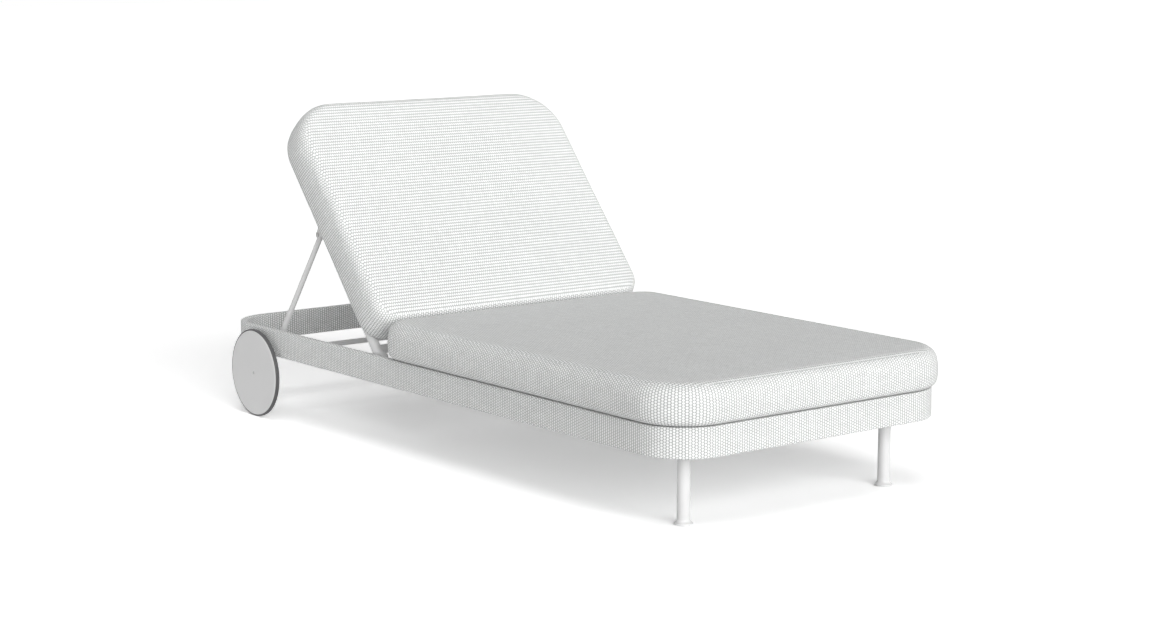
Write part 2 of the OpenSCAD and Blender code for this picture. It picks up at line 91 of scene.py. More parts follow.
class Graph:
    """Short names for building a node tree.

    add gives a node, split and use give a node's outputs, and put only fills a socket. The others
    give one output.
    """

    def __init__(self, tree):
        self.tree = tree

    def add(self, kind, **settings):
        node = self.tree.nodes.new(kind)
        for name, value in settings.items():
            setattr(node, name, value)
        return node

    def put(self, socket, value):
        """Links a socket to value, or sets value on it."""
        if isinstance(value, bpy.types.NodeSocket):
            self.tree.links.new(value, socket)
        else:
            socket.default_value = value

    def use(self, group, **values):
        """A node of the group, with the values on its named inputs."""
        node = self.add("ShaderNodeGroup", node_tree=group)
        for name, value in values.items():
            self.put(node.inputs[name], value)
        return node.outputs

    def math(self, operation, *values, clamp=False):
        node = self.add("ShaderNodeMath", operation=operation, use_clamp=clamp)
        for socket, value in zip(node.inputs, values):
            self.put(socket, value)
        return node.outputs[0]

    def split(self, vector):
        """The vector's X, Y and Z."""
        node = self.add("ShaderNodeSeparateXYZ")
        self.put(node.inputs[0], vector)
        return node.outputs

    def stretch(self, vector, scale):
        """The vector with each axis multiplied by its own scale."""
        node = self.add("ShaderNodeMapping")
        self.put(node.inputs["Vector"], vector)
        node.inputs["Scale"].default_value = scale
        return node.outputs[0]

    def ramp(self, value, low, high):
        """0 below low and 1 above high, with soft ends."""
        node = self.add("ShaderNodeMapRange", interpolation_type="SMOOTHSTEP")
        self.put(node.inputs["Value"], value)
        node.inputs["From Min"].default_value = low
        node.inputs["From Max"].default_value = high
        return node.outputs["Result"]

    def mix(self, factor, a, b, blend="MIX"):
        node = self.add("ShaderNodeMix", data_type="RGBA", blend_type=blend)
        self.put(node.inputs[0], factor)
        self.put(node.inputs[6], a)
        self.put(node.inputs[7], b)
        return node.outputs[2]

    def shaded(self, colour, shade):
        """The colour multiplied by a grey of that shade."""
        tone = self.add("ShaderNodeCombineColor")
        for socket in tone.inputs:
            self.put(socket, shade)
        return self.mix(1.0, colour, tone.outputs[0], "MULTIPLY")

    def noise(self, vector, scale, detail, rough):
        node = self.add("ShaderNodeTexNoise")
        self.put(node.inputs["Vector"], vector)
        node.inputs["Scale"].default_value = scale
        node.inputs["Detail"].default_value = detail
        node.inputs["Roughness"].default_value = rough
        return node.outputs["Fac"]

    def bump(self, height, distance, strength):
        node = self.add("ShaderNodeBump")
        self.put(node.inputs["Height"], height)
        self.put(node.inputs["Distance"], distance)
        node.inputs["Strength"].default_value = strength
        return node.outputs[0]

    def shader(self, kind, colour, strength=None):
        """A shader of that colour, and of that strength if it takes one."""
        node = self.add(kind)
        node.inputs[0].default_value = colour
        if strength is not None:
            self.put(node.inputs[1], strength)
        return node.outputs[0]

    def mix_shader(self, factor, a, b):
        node = self.add("ShaderNodeMixShader")
        for socket, value in zip(node.inputs, (factor, a, b)):
            self.put(socket, value)
        return node.outputs[0]


FLOAT, VECTOR = "NodeSocketFloat", "NodeSocketVector"


def new_group(name, inputs, outputs):
    """A node group with (name, kind, default) inputs and (name, kind) outputs.

    Gives the group, its graph, the sockets of what it is given and the sockets of what it makes.
    """
    group = bpy.data.node_groups.new(name, "ShaderNodeTree")
    for label, kind, default in inputs:
        socket = group.interface.new_socket(label, in_out="INPUT", socket_type=kind)
        if default is not None:
            socket.default_value = default
    for label, kind in outputs:
        group.interface.new_socket(label, in_out="OUTPUT", socket_type=kind)
    g = Graph(group)
    return group, g, g.add("NodeGroupInput").outputs, g.add("NodeGroupOutput").inputs


def grey(level):
    """An opaque grey of that level."""
    return (level, level, level, 1)


# ---------------------------------------------------------------- surface effects


# the weave's stitch along a row, its rows' distance and the depth of its grooves
STITCH, ROW, STITCH_DEPTH = 0.0070, 0.0096, 0.0009


def build_weave():
    """Woven mesh: rows of rounded stitches, each row half a stitch off the last.

    The first cloth coordinate runs along the rows. Cover is 1 on a stitch and falls to 0 in the
    groove round it, and the material paints shade into the groove by it. Twisted strands run over
    every stitch, with painted shade in the dips between them. Each stitch has its own slight tone at
    random, and slubs thicken a row or a column here and there.
    """
    group, g, given, made = new_group(
        "Mesh weave",
        [
            ("Cloth", VECTOR, None),
            ("Stitch", FLOAT, STITCH),
            ("Row", FLOAT, ROW),
            ("Depth", FLOAT, STITCH_DEPTH),
        ],
        [("Cover", FLOAT), ("Shade", FLOAT), ("Normal", VECTOR)],
    )
    cloth = g.split(given["Cloth"])
    up = g.math("DIVIDE", cloth[1], given["Row"])
    row = g.math("FLOOR", up)
    odd = g.math("MODULO", g.math("ABSOLUTE", row), 2.0)
    along = g.math("DIVIDE", cloth[0], given["Stitch"])
    along = g.math("MULTIPLY_ADD", odd, 0.5, along)
    column = g.math("FLOOR", along)
    x = g.math("SUBTRACT", g.math("SUBTRACT", along, column), 0.5)
    y = g.math("SUBTRACT", g.math("SUBTRACT", up, row), 0.5)
    reach = g.math("SQRT", g.math("ADD", g.math("POWER", x, 2.0), g.math("POWER", y, 2.0)))
    cover = g.math("SUBTRACT", 1.0, g.ramp(reach, 0.30, 0.56))
    # strands twist one way in one row and the other way in the next
    lean = g.math("MULTIPLY", y, g.math("MULTIPLY_ADD", odd, 4.0, -2.0))
    strand = g.math("SINE", g.math("MULTIPLY", g.math("MULTIPLY_ADD", x, 3.0, lean), 2 * math.pi))
    strand = g.math("MULTIPLY_ADD", strand, 0.5, 0.5)
    cell = g.add("ShaderNodeCombineXYZ")
    g.put(cell.inputs[0], column)
    g.put(cell.inputs[1], row)
    chance = g.add("ShaderNodeTexWhiteNoise", noise_dimensions="2D")
    g.put(chance.inputs["Vector"], cell.outputs[0])
    shade = g.math("MULTIPLY_ADD", chance.outputs["Value"], 0.08, 0.96)
    # painted shade: the colour is up to a twentieth darker in the dips between the strands
    shade = g.math("MULTIPLY", shade, g.math("MULTIPLY_ADD", strand, 0.05, 0.95))
    for slub in ((9.0, 120.0, 1.0), (120.0, 9.0, 1.0)):
        thick = g.noise(g.stretch(given["Cloth"], slub), 1.0, 2.0, 0.5)
        shade = g.math("MULTIPLY", shade, g.math("MULTIPLY_ADD", thick, 0.14, 0.93))
    height = g.math("MULTIPLY_ADD", g.math("MULTIPLY", strand, cover), 0.12, cover)
    g.put(made["Cover"], cover)
    g.put(made["Shade"], shade)
    g.put(made["Normal"], g.bump(height, given["Depth"], 0.8))
    return group


def build_powder():
    """Powder coat: fine orange peel, a slow drift of shade, and a little dust on what faces up."""
    group, g, given, made = new_group(
        "Powder coat",
        [("Place", VECTOR, None)],
        [("Shade", FLOAT), ("Dust", FLOAT), ("Rough", FLOAT), ("Normal", VECTOR)],
    )
    place = given["Place"]
    peel = g.noise(place, 900.0, 2.0, 0.6)
    speck = g.noise(place, 2600.0, 1.0, 0.5)
    drift = g.noise(place, 5.0, 3.0, 0.55)
    face = g.add("ShaderNodeNewGeometry")
    up = g.ramp(g.split(face.outputs["Normal"])[2], 0.6, 1.0)
    dust = g.math("MULTIPLY", up, g.ramp(g.noise(place, 34.0, 4.0, 0.7), 0.45, 0.75))
    g.put(made["Shade"], g.math("MULTIPLY_ADD", drift, 0.06, 0.97))
    g.put(made["Dust"], g.math("MULTIPLY", dust, 0.25))
    g.put(made["Rough"], g.math("MULTIPLY_ADD", peel, 0.12, -0.06))
    g.put(made["Normal"], g.bump(g.math("MULTIPLY_ADD", speck, 0.35, peel), 0.0002, 0.25))
    return group


def build_drawn():
    """Turned or drawn metal, with a few dull patches.

    The fine lines lie across X, so they run round the axles and along the side rails.
    """
    group, g, given, made = new_group(
        "Drawn metal",
        [("Place", VECTOR, None)],
        [("Shade", FLOAT), ("Rough", FLOAT), ("Normal", VECTOR)],
    )
    lines = g.noise(g.stretch(given["Place"], (1.0, 0.06, 0.06)), 4200.0, 2.0, 0.6)
    dull = g.noise(given["Place"], 160.0, 3.0, 0.6)
    g.put(made["Shade"], g.math("MULTIPLY_ADD", dull, 0.24, 0.88))
    g.put(made["Rough"], g.math("MULTIPLY_ADD", lines, 0.22, g.math("MULTIPLY", dull, 0.1)))
    g.put(made["Normal"], g.bump(lines, 0.00006, 0.4))
    return group


WEAVE = build_weave()
POWDER = build_powder()
DRAWN = build_drawn()


# ---------------------------------------------------------------- materials


# the yarn's colour, and the dark grey painted into the grooves between stitches as painted shade
YARN, GROOVE_SHADE = (0.885, 0.893, 0.889, 1), (0.40, 0.41, 0.405, 1)
DUST = (0.62, 0.60, 0.56, 1)


def new_material(name):
    """A material, its graph, its surface shader's inputs and the coordinates it can read."""
    material = bpy.data.materials.new(name)
    material.use_nodes = True
    g = Graph(material.node_tree)
    shader = material.node_tree.nodes["Principled BSDF"]
    return material, g, shader.inputs, g.add("ShaderNodeTexCoord").outputs


def woven(name):
    """Outdoor mesh fabric from the UV map in metres: pale stitches, painted shade in the grooves."""
    material, g, surface, place = new_material(name)
    weave = g.use(WEAVE, Cloth=place["UV"], Stitch=STITCH, Row=ROW, Depth=STITCH_DEPTH)
    slow = g.noise(place["Object"], 2.3, 3.0, 0.55)
    shade = g.math("MULTIPLY", weave["Shade"], g.math("MULTIPLY_ADD", slow, 0.06, 0.97))
    # painted shade: the colour falls from the yarn's to the dark groove grey where the cover falls off
    g.put(surface["Base Color"], g.shaded(g.mix(weave["Cover"], GROOVE_SHADE, YARN), shade))
    g.put(surface["Normal"], weave["Normal"])
    g.put(surface["Roughness"], 0.86)
    g.put(surface["Specular IOR Level"], 0.25)
    g.put(surface["Sheen Weight"], 0.12)
    g.put(surface["Sheen Roughness"], 0.5)
    return material


def painted(name, colour, rough):
    """Powder-coated metal."""
    material, g, surface, place = new_material(name)
    coat = g.use(POWDER, Place=place["Object"])
    g.put(surface["Base Color"], g.mix(coat["Dust"], g.shaded(colour, coat["Shade"]), DUST))
    g.put(surface["Roughness"], g.math("ADD", coat["Rough"], rough))
    g.put(surface["Normal"], coat["Normal"])
    return material


def metal(name, colour, rough):
    """Bare steel or aluminium."""
    material, g, surface, place = new_material(name)
    drawn = g.use(DRAWN, Place=place["Object"])
    g.put(surface["Base Color"], g.shaded(colour, drawn["Shade"]))
    g.put(surface["Roughness"], g.math("ADD", drawn["Rough"], rough))
    g.put(surface["Normal"], drawn["Normal"])
    g.put(surface["Metallic"], 1.0)
    return material


def moulded(name, colour, rough, grit):
    """Moulded rubber or nylon: a matt, faintly pitted skin that greys where it is worn."""
    material, g, surface, place = new_material(name)
    pits = g.noise(place["Object"], 1400.0, 3.0, 0.6)
    worn = g.ramp(g.noise(place["Object"], 46.0, 4.0, 0.65), 0.45, 0.8)
    light = tuple(min(1.0, c * 1.35 + 0.02) for c in colour[:3]) + (1,)
    g.put(surface["Base Color"], g.mix(g.math("MULTIPLY", worn, 0.5), colour, light))
    g.put(surface["Roughness"], g.math("MULTIPLY_ADD", worn, 0.12, rough))
    g.put(surface["Normal"], g.bump(pits, grit, 0.5))
    return material


# how each slot of the record is finished, with the values that its finish asks for
FINISHES = {
    "cushion_weave": (woven,),
    "band_weave": (woven,),
    "white_coat": (painted, grey(0.72), 0.42),
    "wheel_coat": (painted, grey(0.66), 0.45),
    "rail_aluminium": (metal, (0.80, 0.81, 0.82, 1), 0.28),
    "tyre_rubber": (moulded, (0.085, 0.085, 0.087, 1), 0.62, 0.0002),
    "foot_plastic": (moulded, grey(0.74), 0.45, 0.00005),
    "bush_nylon": (moulded, grey(0.10), 0.5, 0.00005),
    "pad_rubber": (moulded, grey(0.09), 0.7, 0.0001),
    "steel": (metal, (0.45, 0.45, 0.445, 1), 0.25),
}
MATERIALS = {slot: finish(slot, *values) for slot, (finish, *values) in FINISHES.items()}


def dress_nodes():
    """Every carried-over CAD node gets the material of its record slot."""
    for part in record["subparts"]:
        for slot in nodes[part["node"]].material_slots:
            slot.material = MATERIALS[part["material_slot"]]


# ---------------------------------------------------------------- mesh helpers


def new_piece(name, body, node, slot, vertices, faces, cloth=None, crease=180):
    """A smooth-shaded piece that rides a body and stands for one CAD node.

    cloth is the UV map in metres, a pair for every corner of every face. Edges that turn by more
    than the crease angle, in degrees, stay sharp.
    """
    mesh = bpy.data.meshes.new(name)
    mesh.from_pydata(vertices.tolist(), [], faces)
    mesh.update()
    if cloth is not None:
        layer = mesh.uv_layers.new(name="cloth")
        layer.data.foreach_set("uv", np.asarray(cloth, np.float32).ravel())
    mesh.shade_smooth()
    if crease < 180:
        mesh.set_sharp_from_angle(angle=math.radians(crease))
    mesh.materials.append(MATERIALS[slot])
    piece = bpy.data.objects.new(name, mesh)
    bpy.context.scene.collection.objects.link(piece)
    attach(piece, body)
    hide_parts(node)
    return piece


def ring_faces(rings, count):
    """Quads between closed rings of count points each, as an (n, 4) array of vertex numbers."""
    i = np.arange(rings - 1)[:, None] * count
    j = np.arange(count)[None, :]
    k = (j + 1) % count
    return np.stack([i + j, i + k, i + k + count, i + j + count], -1).reshape(-1, 4)


def quad_starts(rings, count):
    """The ring and the point that each quad of ring_faces starts from."""
    return np.repeat(np.arange(rings - 1), count), np.tile(np.arange(count), rings - 1)


def at_height(flat, height):
    """Rings of x and y, shaped (rings, points, 2), with their heights as a third column."""
    return np.concatenate([flat, np.broadcast_to(height, flat.shape[:2])[..., None]], -1)


def lengths_along(points):
    """The length walked from the first point to each point."""
    steps = np.linalg.norm(np.diff(points, axis=0), axis=1)
    return np.concatenate([[0.0], np.cumsum(steps)])


def rounded_outline(half_width, y0, y1, r0, r1, step):
    """Points, outward normals and arc lengths round a rounded rectangle, from the middle of y1.

    The corner radius is r0 at y0 and r1 at y1. The walk goes towards -X first, and each straight
    or arc is cut into equal steps of about that length. The lengths have one more entry than the
    points, which is the whole way round.
    """
    points, normals = [], []

    def line(a, b, normal):
        n = max(1, round(math.dist(a, b) / step))
        t = (np.arange(n) / n)[:, None]
        points.append(np.array(a) + (np.array(b) - np.array(a)) * t)
        normals.append(np.tile(np.array(normal, float), (n, 1)))

    def arc(cx, cy, r, start):
        n = max(6, round(r * math.pi / 2 / step))
        t = start + np.arange(n) / n * math.pi / 2
        around = np.column_stack([np.cos(t), np.sin(t)])
        points.append(np.array([cx, cy]) + r * around)
        normals.append(around)

    w = half_width
    line((0, y1), (-w + r1, y1), (0, 1))
    arc(-w + r1, y1 - r1, r1, math.pi / 2)
    line((-w, y1 - r1), (-w, y0 + r0), (-1, 0))
    arc(-w + r0, y0 + r0, r0, math.pi)
    line((-w + r0, y0), (w - r0, y0), (0, -1))
    arc(w - r0, y0 + r0, r0, 1.5 * math.pi)
    line((w, y0 + r0), (w, y1 - r1), (1, 0))
    arc(w - r1, y1 - r1, r1, 0.0)
    line((w - r1, y1), (0, y1), (0, 1))
    points, normals = np.vstack(points), np.vstack(normals)
    return points, normals, lengths_along(np.vstack([points, points[:1]]))


def smooth_path(points, steps):
    """A Catmull-Rom curve through the points, with that many steps between neighbours."""
    p = np.asarray(points, float)
    q = np.vstack([2 * p[0] - p[1], p, 2 * p[-1] - p[-2]])[:, None, :]
    a, b, c, d = q[:-3], q[1:-2], q[2:-1], q[3:]
    t = (np.arange(steps) / steps)[:, None]
    curve = 2 * b + (c - a) * t + (2 * a - 5 * b + 4 * c - d) * t**2 + (3 * b - a - 3 * c + d) * t**3
    return np.vstack([0.5 * curve.reshape(-1, 2), p[-1:]])


# ---------------------------------------------------------------- cushions


# rows that stand upright on a side lie this many times closer together than those on the faces
SIDE_ROWS = 1.28
# about this far between points round the cushion, and this many steps between points of its side
PAD_STEP, SIDE_STEPS = 0.012, 5
# from the bottom up: share of the height, and share of the edge by which the side falls in
PAD_SIDE = [
    (0.0, 0.62), (0.035, 0.34), (0.12, 0.1), (0.28, 0.01), (0.5, 0.0),
    (0.7, 0.07), (0.83, 0.22), (0.92, 0.46), (0.975, 0.74), (1.0, 1.0),
]
# the sewn seam lies two steps above the eighth of these
SEAM_RING = 7 * SIDE_STEPS + 2
SEAM_DEPTH, SEAM_WIDTH = 0.00025, 0.0012
SIDE_PULL = 0.0022
# rings of the top and bottom, as shares of the way out from the middle
FACE_RINGS = np.array([0.97, 0.93, 0.88, 0.82, 0.75, 0.67, 0.58, 0.48, 0.38, 0.28, 0.18, 0.09])


def pull_on_sides(outline, normal, half_x, half_y, middle):
    """How far the straight sides are drawn in.

    The squared sine of a quarter turn times the way from a straight's end to its middle, and
    nothing on the corners. half_x and half_y are half of the straights' lengths.
    """
    along_x = np.clip(1 - np.abs(outline[:, 0]) / half_x, 0, 1)
    along_y = np.clip(1 - np.abs(outline[:, 1] - middle[1]) / half_y, 0, 1)
    straight = np.where(np.abs(normal[:, 0]) > 0.99, along_y, 0)
    straight = straight + np.where(np.abs(normal[:, 1]) > 0.99, along_x, 0)
    return SIDE_PULL * np.sin(straight * math.pi / 2) ** 2


def side_rings(outline, normal, around, profile, run, pull):
    """The outline moved out at every height of the profile.

    The way out is the profile's growth, less the seam's groove, which is a bell curve of the
    length from the seam, less the pull, plus a slow swell that runs round the cushion. The pull
    and the swell follow the sine of half a turn times the share of the height.
    """
    z, growth = profile[:, :1], profile[:, 1:]
    groove = SEAM_DEPTH * np.exp(-(((run - run[SEAM_RING]) / SEAM_WIDTH) ** 2))[:, None]
    full = np.sin(math.pi * np.clip(z / profile[-1, 0], 0, 1))
    swell = 0.0005 * np.sin(around * 23 + 1.3) + 0.0004 * np.sin(around * 41 + z * 60)
    out = growth - groove - pull * full + swell * full
    return at_height(outline + normal * out[..., None], z)


def bottom_rings(edge_ring, middle):
    """The lowest ring drawn in towards the middle, level all the way."""
    return at_height(middle + (edge_ring[:, :2] - middle) * FACE_RINGS[::-1, None, None], 0.0)


def top_rings(edge_ring, middle, thick, crown):
    """The highest ring drawn in towards the middle.

    The crown grows as one less the share of the way out to the power 2.6, with a faint wave.
    """
    share = FACE_RINGS[:, None]
    flat = middle + (edge_ring[:, :2] - middle) * share[..., None]
    wave = np.sin(flat[..., 0] * 9.1 + 0.7) * np.sin(flat[..., 1] * 6.3 + 0.4)
    return at_height(flat, thick + crown * (1 - share**2.6) + 0.0005 * wave * (1 - share))


def cushion_cloth(vertices, quads, fans, rings, count, around, run):
    """Cloth coordinates: x and y above and below, and rows that stand upright on the sides."""
    first = len(FACE_RINGS)
    ring, point = quad_starts(rings, count)
    on_side = (ring >= first) & (ring < first + SEAM_RING)
    up, j = ring[on_side] - first, point[on_side]
    height = np.stack([run[up], run[up], run[up + 1], run[up + 1]], -1)
    length = np.stack([around[j], around[j + 1], around[j + 1], around[j]], -1)
    cloth = vertices[quads][..., :2].copy()
    cloth[on_side] = np.stack([height, length * SIDE_ROWS], -1)
    return np.vstack([cloth.reshape(-1, 2), vertices[fans][..., :2].reshape(-1, 2)])


def cushion(name, body, node, place, width, y0, y1, r0, r1, thick, belly, edge, crown):
    """A filled cushion: a rounded outline, rounded edges, full sides and a crowned top.

    It is drawn lying flat on z = 0, and place puts it where it belongs. The outline is width by
    y0 to y1, with corners of r0 and r1. Its sides swell out by belly at half height and fall in
    by edge at the top. A fine sewn seam runs round the top edge between two cloths.
    """
    outline, normal, around = rounded_outline(width / 2, y0, y1, r0, r1, PAD_STEP)
    count = len(outline)
    middle = np.array([0.0, (y0 + y1) / 2])
    profile = smooth_path([(share, belly - edge * inset) for share, inset in PAD_SIDE], SIDE_STEPS)
    profile[:, 0] *= thick
    run = lengths_along(profile)
    corner = max(r0, r1)
    pull = pull_on_sides(outline, normal, width / 2 - corner, (y1 - y0) / 2 - corner, middle)
    side = side_rings(outline, normal, around[:-1], profile, run, pull)
    rings = np.concatenate(
        [bottom_rings(side[0], middle), side, top_rings(side[-1], middle, thick, crown)]
    )
    poles = [(*middle, 0.0), (*middle, thick + crown)]
    vertices = np.vstack([rings.reshape(-1, 3), poles])
    quads = ring_faces(len(rings), count)
    j = np.arange(count)
    k = (j + 1) % count
    last = (len(rings) - 1) * count
    low_fan = np.column_stack([k, j, np.full(count, len(vertices) - 2)])
    high_fan = np.column_stack([last + j, last + k, np.full(count, len(vertices) - 1)])
    fans = np.vstack([low_fan, high_fan])
    cloth = cushion_cloth(vertices, quads, fans, len(rings), count, around, run)
    faces = quads.tolist() + fans.tolist()
    piece = new_piece(name, body, node, "cushion_weave", place(vertices), faces, cloth)


def seat_cushion():
    """Fills its CAD box, with the edge of its top a little lower and the crown a little higher."""
    low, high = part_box("seat_cushion")
    belly = 0.0145
    top_edge_lower = 0.0015

    def place(p):
        return p + np.array([0, 0, low.z])

    cushion(
        "seat_cushion_cover", "frame", "seat_cushion", place,
        width=high.x - low.x - 2 * belly, y0=low.y + belly, y1=high.y - belly, r0=0.130, r1=0.068,
        thick=high.z - low.z - top_edge_lower, belly=belly, edge=0.036, crown=0.0035,
    )


def back_cushion():
    """Drawn flat in the back's own plane and turned up by the angle of the raised back."""
    hinge = joints["back_hinge"]
    pivot = hinge["pos_m"]
    angle = math.radians(-min(hinge["range_deg"]))
    c, s = math.cos(angle), math.sin(angle)
    low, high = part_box("back_cushion")
    belly = 0.002
    # from the pivot: the two ends along the back, and the rear face above the back's plane
    start, end, rear = 0.034, 0.764, 0.0143

    def place(p):
        u, v = p[:, 1], p[:, 2] + rear
        return np.column_stack([p[:, 0], pivot[1] + u * c - v * s, pivot[2] + u * s + v * c])

    cushion(
        "back_cushion_cover", "back", "back_cushion", place,
        width=high.x - low.x - 2 * belly, y0=start + belly, y1=end - belly, r0=0.068, r1=0.140,
        thick=0.1185, belly=belly, edge=0.030, crown=0.003,
    )


# ---------------------------------------------------------------- frame band


# about this far between points round the band, and this radius on the sleeve's edges
SLEEVE_STEP, SLEEVE_EDGE = 0.009, 0.0034


def sleeve_profile(thick, low, high):
    """A sleeve's section, as the way in from its outer face and the height, with rounded edges."""
    r = SLEEVE_EDGE
    turn = np.linspace(0, math.pi / 2, 6)
    # each straight has a point close to both of its ends, so that only its corners look round
    share = np.array([0.04, 0.2, 0.4, 0.6, 0.8, 0.96])[:, None]
    centres = [(r, low + r), (r, high - r), (thick - r, high - r), (thick - r, low + r)]
    profile = []
    for (x, z), start in zip(centres, (1.5, 1.0, 0.5, 0.0)):
        a = start * math.pi - turn
        corner = np.column_stack([x + r * np.cos(a), z + r * np.sin(a)])
        if profile:
            profile.append(profile[-1][-1] * (1 - share) + corner[0] * share)
        profile.append(corner)
    return np.vstack(profile)


def unbroken_run(wanted):
    """The numbers of the wanted points in walking order, and of the point after them."""
    index = np.flatnonzero(wanted)
    if wanted[0] and wanted[-1]:
        gap = np.flatnonzero(~wanted)
        index = np.concatenate([np.arange(gap[-1] + 1, len(wanted)), np.arange(gap[0])])
    return np.append(index, (index[-1] + 1) % len(wanted))


def rail_sleeve(side, wanted, outline, normal, around, profile):
    """The profile swept along one unbroken run of the band's outline, with a flat cap at each end.

    Every ring is the outline's point moved inwards along its normal by the profile's way in, at
    the profile's height. The cloth runs on from sleeve to sleeve, because its lengths are counted
    from one start all round the band.
    """
    index = unbroken_run(wanted)
    point, inwards, length = outline[index], -normal[index], around[index]
    length[np.maximum.accumulate(length) > length] += around[-1]
    rings, count = len(index), len(profile)
    flat = point[:, None, :] + inwards[:, None, :] * profile[:, :1]
    vertices = at_height(flat, profile[:, 1]).reshape(-1, 3)
    wrap = lengths_along(np.vstack([profile, profile[:1]]))
    ring, j = quad_starts(rings, count)
    across = np.stack([wrap[j], wrap[j + 1], wrap[j + 1], wrap[j]], -1)
    length = np.stack([length[ring + 1], length[ring + 1], length[ring], length[ring]], -1)
    cloth = np.stack([across, length * SIDE_ROWS], -1).reshape(-1, 2)
    numbers = np.arange(rings * count).reshape(rings, count)
    faces = ring_faces(rings, count)[:, ::-1].tolist()
    faces += [numbers[0].tolist(), numbers[-1, ::-1].tolist()]
    new_piece(
        f"{side}_rail_sleeve", "frame", f"{side}_rail_cover", "band_weave",
        vertices, faces, np.vstack([cloth, profile, profile[::-1]]), crease=50,
    )


def band_sleeves():
    """Woven sleeves on the four lengths of rail, which meet where the straight sides end."""
    low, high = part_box("right_rail_cover")
    foot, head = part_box("foot_rail_cover")[0].y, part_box("head_rail_cover")[1].y
    radius = head - high.y
    outline, normal, around = rounded_outline(high.x, foot, head, radius, radius, SLEEVE_STEP)
    profile = sleeve_profile(high.x - low.x, low.z, high.z)
    x, y = outline.T
    # a side's sleeve has every step of the walk that starts and ends on that side's face
    face = np.abs(x) > high.x - 1e-6
    on_side = face & np.roll(face, -1)
    for side, wanted in (
        ("left", on_side & (x < 0)),
        ("right", on_side & (x > 0)),
        ("foot", ~on_side & (y < 0)),
        ("head", ~on_side & (y > 0)),
    ):
        rail_sleeve(side, wanted, outline, normal, around, profile)


# ---------------------------------------------------------------- feet and wheel discs


LEG_TUBE = 0.016
FOOT_SIDES, WHEEL_SIDES = 72, 144


def turned_rings(profile, count):
    """Radius and axial place of a profile, turned about the axis: (points, count, 3), axis last."""
    a = np.arange(count) / count * 2 * math.pi
    r, z = profile[:, :1], profile[:, 1:]
    return np.stack([r * np.cos(a), r * np.sin(a), np.repeat(z, count, 1)], -1)


def leg_foot(side):
    """A turned foot: a smooth flared profile of radius over height, round the leg's axis."""
    low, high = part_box(f"{side}_leg_foot")
    wide = (high.x - low.x) / 2
    tube = LEG_TUBE
    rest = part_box(f"{side}_front_leg")[0].z
    profile = smooth_path(
        [
            (0.004, 0.0), (wide - 0.0022, 0.0), (wide - 0.0003, 0.0012), (wide, 0.0030),
            (wide - 0.0004, 0.0046), (wide - 0.0022, 0.0058), (tube + 0.0034, 0.0074),
            (tube + 0.0017, 0.0092), (tube + 0.0008, 0.0112), (tube + 0.0004, rest - 0.0004),
            (tube - 0.0008, rest + 0.0002), (tube - 0.0028, rest + 0.0004),
        ],
        4,
    )
    profile = np.vstack([profile, [(tube - 0.0028, high.z), (0.002, high.z)]])
    profile[:, 1] = np.maximum(profile[:, 1], 0.0)
    centre = np.array([(low.x + high.x) / 2, (low.y + high.y) / 2, 0])
    points = turned_rings(profile, FOOT_SIDES).reshape(-1, 3) + centre
    numbers = np.arange(len(points)).reshape(-1, FOOT_SIDES)
    faces = ring_faces(len(profile), FOOT_SIDES).tolist()
    faces += [numbers[0, ::-1].tolist(), numbers[-1].tolist()]
    new_piece(
        f"{side}_leg_glide", "frame", f"{side}_leg_foot", "foot_plastic", points, faces, crease=50
    )


def wheel_section(radius, face, back, boss, bore, end):
    """The closed section of a disc, as radius and place along the axle, from the screw's hole.

    The hole widens to a sunk seat in the face. The face runs out to a rolled rim, whose inner side
    returns to a hollowed back and to the boss, and the bore takes the nylon bush.
    """
    roll = 0.0032
    hole, seat, sunk = 0.0030, 0.0050, 0.0032
    lip = 0.0002
    rim_wide, hollow = 0.009, 0.004
    hub, chamfer = 0.0205, 0.0006
    t = np.linspace(0, math.pi / 2, 9)[:, None]
    return np.vstack(
        [
            [(hole, end), (hole, face - sunk), (seat, face - sunk), (seat, face - lip)],
            [(seat + lip, face), (0.030, face), (radius - 0.012, face)],
            np.hstack([radius - roll + roll * np.sin(t), face - roll + roll * np.cos(t)]),
            [(radius, back + chamfer), (radius - chamfer, back), (radius - rim_wide, back)],
            [(radius - rim_wide, back + hollow), (hub + 0.0020, back + hollow)],
            [(hub + 0.0005, back + 0.0025), (hub, boss + chamfer), (hub - chamfer, boss)],
            [(bore, boss), (bore, end)],
        ]
    )


def wheel_face(side, out):
    """A turned disc: a plain face with a soft rolled rim, a sunk seat for the hub screw, and a boss.

    out is 1 or -1, the way that the face looks along X. The section is a closed loop, so the last
    ring of faces joins the first and the turned shape has no ends.
    """
    low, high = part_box(f"{side}_wheel_disc")
    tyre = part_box(f"{side}_wheel_tyre")
    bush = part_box(f"{side}_wheel_bush")
    section = wheel_section(
        radius=(high.z - low.z) / 2,
        face=max(out * low.x, out * high.x),
        back=min(out * corner.x for corner in tyre) - 0.0005,
        boss=min(out * low.x, out * high.x),
        bore=(bush[1].z - bush[0].z) / 2 + 0.0001,
        end=max(out * corner.x for corner in bush) + 0.001,
    )
    rings = turned_rings(section, WHEEL_SIDES)
    turned = np.stack([out * rings[..., 2], out * rings[..., 0], rings[..., 1]], -1)
    centre = np.array([0, (low.y + high.y) / 2, (low.z + high.z) / 2])
    points = turned.reshape(-1, 3) + centre
    quads = ring_faces(len(section) + 1, WHEEL_SIDES) % len(points)
    new_piece(
        f"{side}_wheel_face", f"{side}_wheel", f"{side}_wheel_disc", "wheel_coat",
        points, quads[:, ::-1].tolist(), crease=40,
    )


# ---------------------------------------------------------------- floor and light


# the sky's strength at the horizon
SKY = 1.35
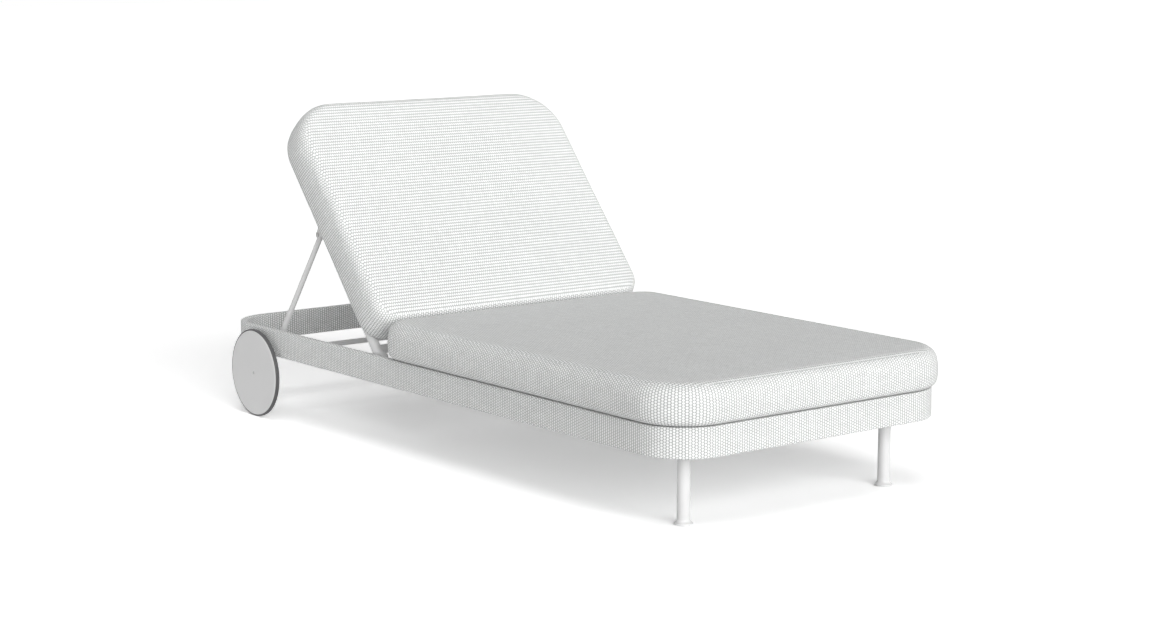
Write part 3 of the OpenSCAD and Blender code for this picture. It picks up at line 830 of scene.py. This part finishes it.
# each lamp's light travels this way, from a disc this many degrees wide, with this power
LAMPS = {
    "overhead": ((0.22, 0.22, -0.95), 36, 0.80),
    "front": ((0.17, 0.94, -0.26), 52, 2.83),
}
FLOOR_SIZE, FLOOR_DROP = 30.0, 0.0004
# the floor's white for the light that it bounces, and its white and glow where it is seen
FLOOR_BOUNCE, FLOOR_SEEN, FLOOR_GLOW = 0.8, 1.40, 0.16


def seen_directly(g):
    """1 for rays from the eye, straight or by way of a mirror or glass, and 0 for soft light."""
    path = g.add("ShaderNodeLightPath").outputs
    mirrored = g.math("MAXIMUM", path["Is Glossy Ray"], path["Is Transmission Ray"])
    return g.math("MAXIMUM", path["Is Camera Ray"], mirrored)


def set_world():
    """A sky that is brightest at the horizon and dark overhead, and white where it is seen."""
    world = bpy.data.worlds.new("Studio")
    bpy.context.scene.world = world
    world.use_nodes = True
    world.node_tree.nodes.clear()
    g = Graph(world.node_tree)
    height = g.split(g.add("ShaderNodeTexCoord").outputs["Generated"])[2]
    low = g.math("POWER", g.math("SUBTRACT", 1.0, height, clamp=True), 2.0)
    lit = g.shader("ShaderNodeBackground", grey(1), g.math("MULTIPLY", low, SKY))
    seen = g.shader("ShaderNodeBackground", grey(1))
    out = g.add("ShaderNodeOutputWorld")
    g.put(out.inputs[0], g.mix_shader(seen_directly(g), lit, seen))


def floor_material():
    """A plain white that bounces light, and a brighter, glowing one for the rays that see it."""
    material = bpy.data.materials.new("floor_white")
    material.use_nodes = True
    material.node_tree.nodes.clear()
    g = Graph(material.node_tree)
    plain = g.shader("ShaderNodeBsdfDiffuse", grey(FLOOR_BOUNCE))
    both = g.add("ShaderNodeAddShader")
    g.put(both.inputs[0], g.shader("ShaderNodeBsdfDiffuse", grey(FLOOR_SEEN)))
    g.put(both.inputs[1], g.shader("ShaderNodeEmission", grey(1), FLOOR_GLOW))
    out = g.add("ShaderNodeOutputMaterial")
    g.put(out.inputs[0], g.mix_shader(seen_directly(g), plain, both.outputs[0]))
    return material


def set_floor():
    """A wide white floor that glows a little to the eye, so that it meets the backdrop unseen."""
    mesh = bpy.data.meshes.new("floor")
    size = FLOOR_SIZE
    corners = [(-size, -size, 0), (size, -size, 0), (size, size, 0), (-size, size, 0)]
    mesh.from_pydata(corners, [], [(0, 1, 2, 3)])
    mesh.materials.append(floor_material())
    floor = bpy.data.objects.new("floor", mesh)
    floor.location.z = -FLOOR_DROP
    bpy.context.scene.collection.objects.link(floor)


def set_lamps():
    """Two wide soft lamps, as far away as the sun."""
    for name, (towards, wide, power) in LAMPS.items():
        lamp = bpy.data.lights.new(name, "SUN")
        lamp.energy = power
        lamp.angle = math.radians(wide)
        holder = bpy.data.objects.new(name, lamp)
        holder.rotation_euler = Vector(towards).to_track_quat("-Z", "Y").to_euler()
        bpy.context.scene.collection.objects.link(holder)


# ---------------------------------------------------------------- the scene


aim_camera()
set_world()
set_floor()
set_lamps()
bpy.context.scene.view_settings.view_transform = "Standard"

dress_nodes()
seat_cushion()
back_cushion()
band_sleeves()
for side in ("left", "right"):
    leg_foot(side)
for side, out in (("left", -1), ("right", 1)):
    wheel_face(side, out)
